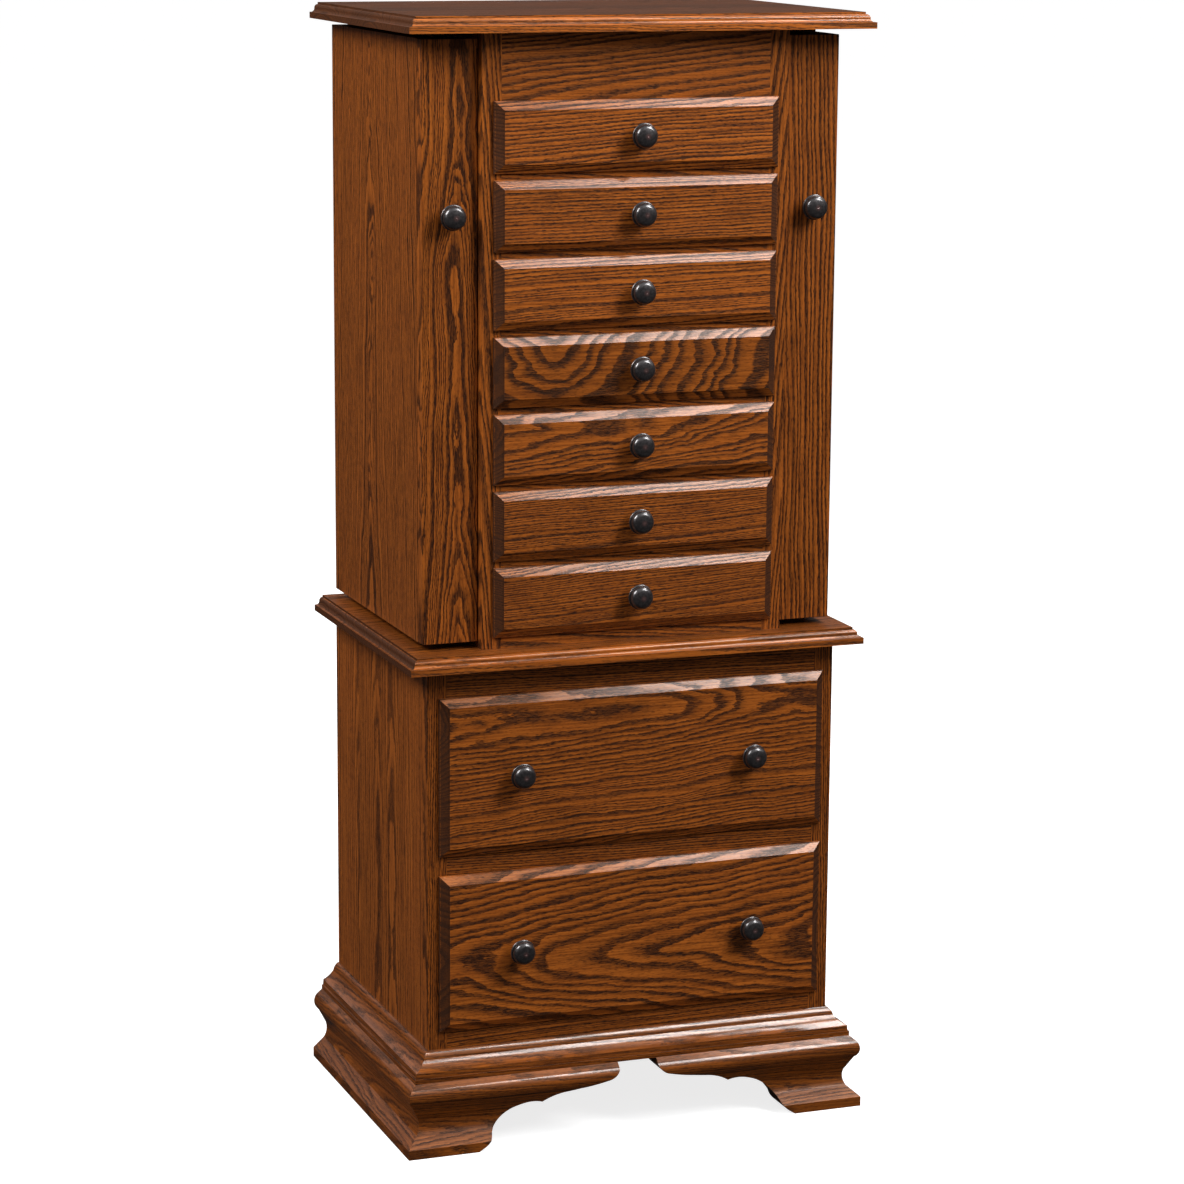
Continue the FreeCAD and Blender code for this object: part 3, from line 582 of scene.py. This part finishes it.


def bronze(name, centre, mirrored=False):
    """Oil-rubbed bronze knob on an axis along Y through the centre, in mm.

    It is almost black, with a reddish patch at the crown of the dome and a lighter copper band
    along the rim. Where mirrored, the same material serves the knob on the other side.
    """
    material, t = new_material(name)
    point = t.place_mm()
    x, y, z = t.split(point)
    if mirrored:
        x = t.math("ABSOLUTE", x)
    dx = t.sub(x, centre[0])
    dz = t.sub(z, centre[2])
    from_axis = t.math("SQRT", t.add(t.mul(dx, dx), t.mul(dz, dz)))
    mottle = t.noise(point, scale=0.35, detail=4.0, roughness=0.65)
    fine = t.noise(point, scale=2.6, detail=2.0)
    crown_patch = t.mul(t.mapped(from_axis, *CROWN_R, 1.0, 0.0), t.mapped(mottle, 0.25, 0.50, 0.6, 1.0))
    rim = t.mul(t.mapped(from_axis, *RIM_R), t.mapped(mottle, 0.42, 0.62))
    colour = t.mix(t.mapped(mottle, 0.35, 0.65), (0.038, 0.034, 0.035), (0.064, 0.057, 0.058))
    colour = t.mix(t.mul(crown_patch, 0.70), colour, (0.180, 0.090, 0.082))
    colour = t.mix(t.mul(rim, 0.45), colour, (0.220, 0.110, 0.070))
    rough = t.add(t.mapped(mottle, 0.3, 0.7, 0.30, 0.38), t.mul(t.sub(fine, 0.5), 0.08))
    t.finish({"Metallic": 0.70, "Coat Weight": 1.0, "Coat Roughness": 0.16}, Base_Color=colour,
             Roughness=rough, Normal=t.bump(t.add(mottle, t.mul(fine, 0.3)), 0.00006))
    return material


def brass(name):
    """Antique brass: yellow metal with brown in its hollows."""
    material, t = new_material(name)
    point = t.place_mm()
    mottle = t.noise(point, scale=0.22, detail=4.0, roughness=0.6)
    brushed = t.noise(t.scaled(point, (3.0, 3.0, 0.12)), detail=1.0)
    colour = t.mix(t.mapped(mottle, 0.36, 0.62), (0.200, 0.115, 0.040), (0.520, 0.340, 0.130))
    t.finish({"Metallic": 1.0}, Base_Color=colour,
             Roughness=t.mapped(brushed, 0.3, 0.7, 0.26, 0.44), Normal=t.bump(brushed, 0.00003))
    return material


def plastic(name):
    """Dark moulded plastic with a fine spark-eroded texture."""
    material, t = new_material(name)
    point = t.place_mm()
    grainy = t.noise(point, scale=2.2, detail=2.0)
    cloud = t.noise(point, scale=0.08, detail=2.0)
    colour = t.mix(cloud, (0.016, 0.014, 0.013), (0.034, 0.030, 0.028))
    t.finish({"IOR": 1.5}, Base_Color=colour,
             Roughness=t.mapped(grainy, 0.3, 0.7, 0.38, 0.55), Normal=t.bump(grainy, 0.00005))
    return material


def looking_glass(name):
    """Silvered glass with a trace of wiping marks."""
    material, t = new_material(name)
    point = t.place_mm()
    wipe = t.noise(t.scaled(point, (1 / 90, 1 / 12, 1 / 90)), detail=3.0)
    colour = t.mix(t.mapped(wipe, 0.40, 0.75), (0.88, 0.90, 0.89), (0.80, 0.83, 0.82))
    t.finish({"Metallic": 1.0, "Roughness": 0.0}, Base_Color=colour)
    return material


def finish_hardware():
    for number in range(1, 8):
        node = "drawer_%d_knob" % number
        give(node, bronze("bronze_%d" % number, centre_mm(node)))
    for number in (1, 2):
        node = "large_drawer_%d_knobs" % number
        low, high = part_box(node)
        knob_r = (high.z - low.z) / 2
        right_knob = ((high.x - knob_r) / MM, 0, centre_mm(node)[2])
        give(node, bronze("bronze_large_%d" % number, right_knob, mirrored=True))
    for side in ("left", "right"):
        node = side + "_door_knob"
        give(node, bronze("bronze_%s_door" % side, centre_mm(node)))
    metal = brass("antique_brass_aged")
    for node in NODES:
        if node.endswith("hinge_leaves") or node.endswith("hooks"):
            give(node, metal)
    give("door_catches", plastic("moulded_plastic"))
    give("lid_mirror", looking_glass("silvered_glass"))


# ---------------------------------------------------------------- felt
def felt(name, deep, pale):
    """Pressed wool felt or velvet: a nap with fibres, brushed lighter and darker in patches."""
    material, t = new_material(name)
    point = t.place_mm()
    fibre = t.noise(t.scaled(point, (1.6, 1.6, 1.6)), detail=3.0, roughness=0.7,
                    distortion=0.8)
    patch = t.noise(point, scale=0.03, detail=2.0)
    colour = t.mix(t.mapped(fibre, 0.30, 0.70), deep, pale)
    colour = t.mix(t.mapped(patch, 0.35, 0.70, 0.0, 0.35), colour, deep)
    t.finish({"Sheen Weight": 0.6, "Sheen Roughness": 0.45, "Sheen Tint": (*pale, 1),
              "Specular IOR Level": 0.2},
             Base_Color=colour, Roughness=t.mapped(fibre, 0.3, 0.7, 0.82, 0.98),
             Normal=t.bump(fibre, 0.0004))
    return material


FELT = felt("burgundy_felt", (0.060, 0.006, 0.010), (0.150, 0.016, 0.026))


def soft_piece(name, verts, faces, body):
    """A smooth felt object that rides on the body."""
    mesh = bpy.data.meshes.new(name)
    mesh.from_pydata(verts, [], faces)
    mesh.validate()
    for polygon in mesh.polygons:
        polygon.use_smooth = True
    mesh.materials.append(FELT)
    piece = bpy.data.objects.new(name, mesh)
    bpy.context.scene.collection.objects.link(piece)
    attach(piece, body)
    return piece


# ---------------------------------------------------------------- felt liners
FELT_T = 1.2 * MM
LINER_GAP = 0.6 * MM         # from a liner's edge to the walls round it
LINER_CELL = 5.0 * MM        # length of a mesh cell
LEAST_CELLS = 8
WAVE_UP = 0.25 * MM          # height of the waves in a liner
WAVES = 18                   # waves in a metre
EDGE_UP = 0.5 * MM           # how far the edges lift
EDGE_REACH = 4 * MM          # how far the lift reaches in from the edge
EDGE_ROUND = 0.35 * MM       # how far the upper edge is rounded down
AT_EDGE = 1e-9


def liner(name, low, high, z, body, seed):
    """Felt cut to a compartment's floor: it lies flat, with slight waves and edges that lift."""
    low_x, low_y = low[0] + LINER_GAP, low[1] + LINER_GAP
    width, length = high[0] - LINER_GAP - low_x, high[1] - LINER_GAP - low_y
    across = max(LEAST_CELLS, round(width / LINER_CELL))
    along = max(LEAST_CELLS, round(length / LINER_CELL))
    verts = []
    for layer in (0, 1):
        for j in range(along + 1):
            for i in range(across + 1):
                u, v = i / across, j / along
                edge = min(u * width, (1 - u) * width, v * length, (1 - v) * length)
                wave = noise.noise(Vector((u * width * WAVES + seed, v * length * WAVES, seed)))
                lift = WAVE_UP * (1 + wave) + EDGE_UP * math.exp(-edge / EDGE_REACH) * (1 + wave)
                round_off = EDGE_ROUND if edge < AT_EDGE and layer else 0.0
                verts.append((low_x + u * width, low_y + v * length,
                              z + lift + layer * FELT_T - round_off))
    row, sheet_size = across + 1, (across + 1) * (along + 1)
    faces = []
    for j in range(along):
        for i in range(across):
            a = j * row + i
            faces.append((a, a + row, a + row + 1, a + 1))
            top = a + sheet_size
            faces.append((top, top + 1, top + row + 1, top + row))
    rim = ([i for i in range(across)] + [across + j * row for j in range(along)]
           + [along * row + across - i for i in range(across)]
           + [(along - j) * row for j in range(along)])
    for here, there in zip(rim, rim[1:] + rim[:1]):
        faces.append((here, there, there + sheet_size, here + sheet_size))
    piece = soft_piece(name, verts, faces, body)


# thickness of a drawer box's walls, mm
SMALL_WALLS = {"side": 10.0, "front": 12.0, "back": 10.0}
LARGE_WALLS = {"side": 12.0, "front": 12.0, "back": 12.0}
BOX_FLOOR_UP = 9.0           # top of a drawer's bottom above the lower edge of its box


def line_drawer(body, walls, seed):
    low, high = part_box(body + "_box")
    inner_low = (low.x + walls["side"] * MM, low.y + walls["front"] * MM)
    inner_high = (high.x - walls["side"] * MM, high.y - walls["back"] * MM)
    liner(body + "_liner", inner_low, inner_high, low.z + BOX_FLOOR_UP * MM, body,
          seed)


def line_drawers():
    for number in range(1, 8):
        line_drawer("drawer_%d" % number, SMALL_WALLS, number)
    for number in (1, 2):
        line_drawer("large_drawer_%d" % number, LARGE_WALLS, 10 + number)


DIVIDER_T = 6.0 * MM


def line_tray():
    """One liner in each of the six cells behind the ring rolls."""
    low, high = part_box("tray_dividers")
    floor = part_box("tray_floor")[1].z
    cross_x = (high.x - low.x) / 6
    middle = (low.y + high.y) / 2
    columns = ((low.x, -cross_x - DIVIDER_T / 2),
               (-cross_x + DIVIDER_T / 2, cross_x - DIVIDER_T / 2),
               (cross_x + DIVIDER_T / 2, high.x))
    rows = ((low.y + DIVIDER_T, middle), (middle + DIVIDER_T, high.y))
    number = 0
    for x0, x1 in columns:
        for y0, y1 in rows:
            number += 1
            liner("tray_liner_%d" % number, (x0, y0), (x1, y1), floor, "case",
                  30 + number)


NECKLACE_FLOOR_T = 6 * MM


def line_necklace_compartments():
    low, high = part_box("necklace_compartment_ends")
    case_low, case_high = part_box("upper_partitions")
    floor = low.z + NECKLACE_FLOOR_T
    for side, x0, x1 in (("left", low.x, case_low.x), ("right", case_high.x, high.x)):
        liner("necklace_liner_" + side, (x0, low.y), (x1, high.y), floor, "case",
              41 + x0)


# ---------------------------------------------------------------- ring rolls
ROLL_COUNT = 5
ROLL_SLIM = 1.0 * MM         # how much slimmer a roll starts before its filling swells it
ROLL_END = 9.0 * MM          # length over which an end rounds off
ROLL_END_SHARE = 0.45        # how thick the very end is, of the full thickness
ROLL_ROUND = 26              # points round a roll
ROLL_STEP = 3.6 * MM         # between two rings of points
UNDER_SHAPE, TOP_SHAPE = 0.42, 0.80    # powers of the outline: 0 is a box, 1 is round
PUCKER = 0.25 * MM
SWELL_FRAMES = 16
SWELL_PRESSURE = 4.0
SWELL_SHRINK = -0.05         # below 0 the cloth grows


def roll_outline(half_w, height):
    """Closed outline of a roll across its length: flat underneath, upright, then a round top."""
    points = []
    for index in range(ROLL_ROUND):
        turn = 2 * math.pi * index / ROLL_ROUND - math.pi / 2
        c, s = math.cos(turn), math.sin(turn)
        power = UNDER_SHAPE if s < 0 else TOP_SHAPE
        y = math.copysign(abs(c) ** power, c) * half_w
        z = math.copysign(abs(s) ** power, s) * height / 2
        points.append((y, z))
    return points


def ring_rolls():
    """Five padded rolls side by side, swollen as cloth by the pressure of their filling."""
    low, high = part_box("ring_rolls")
    pitch = (high.y - low.y + ROLL_SLIM) / ROLL_COUNT
    half_w = (pitch - ROLL_SLIM) / 2 - ROLL_SLIM
    height = high.z - low.z - 2 * ROLL_SLIM
    middle_z = (low.z + high.z) / 2
    shape = roll_outline(half_w, height)
    start_x, end_x = low.x + ROLL_SLIM, high.x - ROLL_SLIM
    steps = round((end_x - start_x) / ROLL_STEP)
    verts, faces = [], []
    for number in range(ROLL_COUNT):
        middle_y = low.y + pitch * (number + 0.5) - ROLL_SLIM / 2
        first = len(verts)
        for j in range(steps + 1):
            x = start_x + (end_x - start_x) * j / steps
            from_end = min(x - start_x, end_x - x) / ROLL_END
            quarter_round = math.sqrt(max(0.0, 1 - (1 - min(1.0, from_end)) ** 2))
            thick = ROLL_END_SHARE + (1 - ROLL_END_SHARE) * quarter_round
            for y, z in shape:
                pucker = PUCKER * noise.noise(Vector((x * 220, y * 130, z * 130 + number * 7)))
                verts.append((x, middle_y + y * thick + pucker, middle_z + z * thick + pucker))
        for j in range(steps):
            ring = first + j * ROLL_ROUND
            for i in range(ROLL_ROUND):
                a, b = ring + i, ring + (i + 1) % ROLL_ROUND
                faces.append((a, b, b + ROLL_ROUND, a + ROLL_ROUND))
        faces.append(tuple(first + i for i in reversed(range(ROLL_ROUND))))
        faces.append(tuple(first + steps * ROLL_ROUND + i for i in range(ROLL_ROUND)))
    swollen = swell(verts, faces)
    per_roll, faces_per_roll = len(verts) // ROLL_COUNT, len(faces) // ROLL_COUNT
    for number in range(ROLL_COUNT):
        first = number * per_roll
        own = [tuple(index - first for index in face)
               for face in faces[number * faces_per_roll:(number + 1) * faces_per_roll]]
        piece = soft_piece("ring_roll_%d" % (number + 1), swollen[first:first + per_roll], own,
                           "case")
        smooth = piece.modifiers.new("smooth", "SUBSURF")
        smooth.levels = smooth.render_levels = 1
        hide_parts("ring_rolls")


def swell(verts, faces):
    """The closed skins after a short cloth simulation with pressure inside.

    No point moves further than ROLL_SLIM.
    """
    mesh = bpy.data.meshes.new("roll_skins")
    mesh.from_pydata(verts, [], faces)
    skins = bpy.data.objects.new("roll_skins", mesh)
    bpy.context.scene.collection.objects.link(skins)
    cloth = skins.modifiers.new("cloth", "CLOTH")
    cloth.settings.use_pressure = True
    cloth.settings.uniform_pressure_force = SWELL_PRESSURE
    cloth.settings.effector_weights.gravity = 0.0
    cloth.settings.shrink_min = SWELL_SHRINK
    cloth.settings.quality = 5
    cloth.point_cache.frame_start = 1
    cloth.point_cache.frame_end = SWELL_FRAMES
    scene = bpy.context.scene
    for number in range(1, SWELL_FRAMES + 1):
        scene.frame_set(number)
    evaluated = skins.evaluated_get(bpy.context.evaluated_depsgraph_get())
    result = []
    for start, vertex in zip(verts, evaluated.data.vertices):
        start = Vector(start)
        move = vertex.co - start
        if move.length > ROLL_SLIM:
            move = move.normalized() * ROLL_SLIM
        result.append(tuple(start + move))
    bpy.data.objects.remove(skins)
    scene.frame_set(1)
    return result


# ---------------------------------------------------------------- studio
FLOOR_SIZE = 120.0
SEEN_WHITE = (0.96, 0.96, 0.96)        # the backdrop past the floor
SEEN_IN_MIRROR = (0.62, 0.62, 0.62)    # the room behind the viewer


def add_floor():
    """Pale floor that gives off a little light, so that it stays near white under soft light."""
    bpy.ops.mesh.primitive_grid_add(x_subdivisions=8, y_subdivisions=8, size=FLOOR_SIZE,
                                    location=(0, 0, 0))
    floor = bpy.context.object
    floor.name = "studio_floor"
    material, t = new_material("studio_white")
    speck = t.noise(t.place_mm(), scale=0.02, detail=2.0)
    colour = t.mix(speck, (0.44, 0.44, 0.44), (0.46, 0.46, 0.46))
    t.finish({"Roughness": 0.7, "Specular IOR Level": 0.1, "Emission Color": (1, 1, 1, 1),
              "Emission Strength": 0.80}, Base_Color=colour)
    floor.data.materials.append(material)
    floor.visible_glossy = False
    floor.visible_diffuse = False


def add_world():
    """Soft light from all round, dimmer where it is seen in gloss, and a white backdrop."""
    world = bpy.data.worlds.new("studio")
    bpy.context.scene.world = world
    world.use_nodes = True
    world.node_tree.nodes.clear()
    t = Tree(world.node_tree)
    up = t.split(t.node("ShaderNodeTexCoord").outputs["Generated"])[2]
    height = t.mapped(up, -1.0, 1.0, smooth=False)
    light = t.ramp(height, [(0.0, 0.12), (0.45, 0.16), (0.60, 0.34), (1.0, 0.50)])
    gleam = t.ramp(height, [(0.0, 0.012), (0.52, 0.016), (0.62, 0.07), (0.75, 0.50),
                            (1.0, 0.62)])
    ray = t.node("ShaderNodeLightPath").outputs
    in_mirror = t.mul(ray["Is Glossy Ray"], ray["Is Singular Ray"])
    colour = t.mix(ray["Is Glossy Ray"], light, gleam)
    colour = t.mix(in_mirror, colour, SEEN_IN_MIRROR)
    colour = t.mix(ray["Is Camera Ray"], colour, SEEN_WHITE)
    background = t.node("ShaderNodeBackground", None, Color=colour, Strength=1.0)
    output = t.node("ShaderNodeOutputWorld")
    t.tree.links.new(background.outputs[0], output.inputs["Surface"])


def add_softbox(name, place, target, size, power, gleams=True):
    """Lamp of the size in metres and the power in watts; gleams says whether gloss shows it."""
    light = bpy.data.lights.new(name, "AREA")
    light.shape = "RECTANGLE"
    light.size, light.size_y = size
    light.energy = power
    box = bpy.data.objects.new(name, light)
    box.location = place
    box.rotation_euler = (Vector(target) - Vector(place)).to_track_quat("-Z", "Y").to_euler()
    box.visible_glossy = gleams
    bpy.context.scene.collection.objects.link(box)


def add_lights():
    add_softbox("key", (1.72, -2.3, 3.2), (0.1, 0, 0.75), (1.1, 2.0), 125)
    add_softbox("overhead", (1.9, 0.0, 3.6), (0, 0, 0.4), (1.5, 0.6), 52)
    add_softbox("left_fill", (-2.5, -0.5, 3.0), (0, 0, 1.1), (1.3, 1.5), 112)
    add_softbox("back_fill", (0.8, 3.4, 2.2), (0, 0, 0.75), (2.0, 1.6), 70, gleams=False)


CAMERA_AT = (-1.595, -4.2988, 1.594)
CAMERA_YAW = 20.48       # degrees to the right of +Y
CAMERA_PITCH = 11.54     # degrees down
CAMERA_ROLL = 0.40       # degrees
CAMERA_LENS = 110.68     # mm
SENSOR_WIDTH = 36.0      # mm
VIEW_END = 200           # m


def add_camera():
    yaw, pitch, roll = map(math.radians, (CAMERA_YAW, CAMERA_PITCH, CAMERA_ROLL))
    forward = Vector((math.sin(yaw) * math.cos(pitch), math.cos(yaw) * math.cos(pitch),
                      -math.sin(pitch)))
    right = Vector((math.cos(yaw), -math.sin(yaw), 0))
    up = right.cross(forward)
    tilted_right = math.cos(roll) * right + math.sin(roll) * up
    tilted_up = math.cos(roll) * up - math.sin(roll) * right
    data = bpy.data.cameras.new("camera")
    data.sensor_width = SENSOR_WIDTH
    data.lens = CAMERA_LENS
    data.clip_end = VIEW_END
    camera = bpy.data.objects.new("camera", data)
    turn = Matrix((tilted_right, tilted_up, -forward)).transposed()
    camera.matrix_world = Matrix.Translation(CAMERA_AT) @ turn.to_4x4()
    bpy.context.scene.collection.objects.link(camera)
    bpy.context.scene.camera = camera


def set_view_transform():
    """Colours are shown as they are, with no film curve."""
    settings = bpy.context.scene.view_settings
    settings.view_transform = "Standard"
    settings.look = "None"


# ---------------------------------------------------------------- all of it
add_camera()
finish_drawer_fronts()
finish_face_frames()
finish_doors_and_sides()
finish_tops_and_base()
finish_inner_panels()
finish_drawer_wood()
finish_hardware()
line_drawers()
line_tray()
line_necklace_compartments()
ring_rolls()
add_floor()
add_world()
add_lights()
set_view_transform()
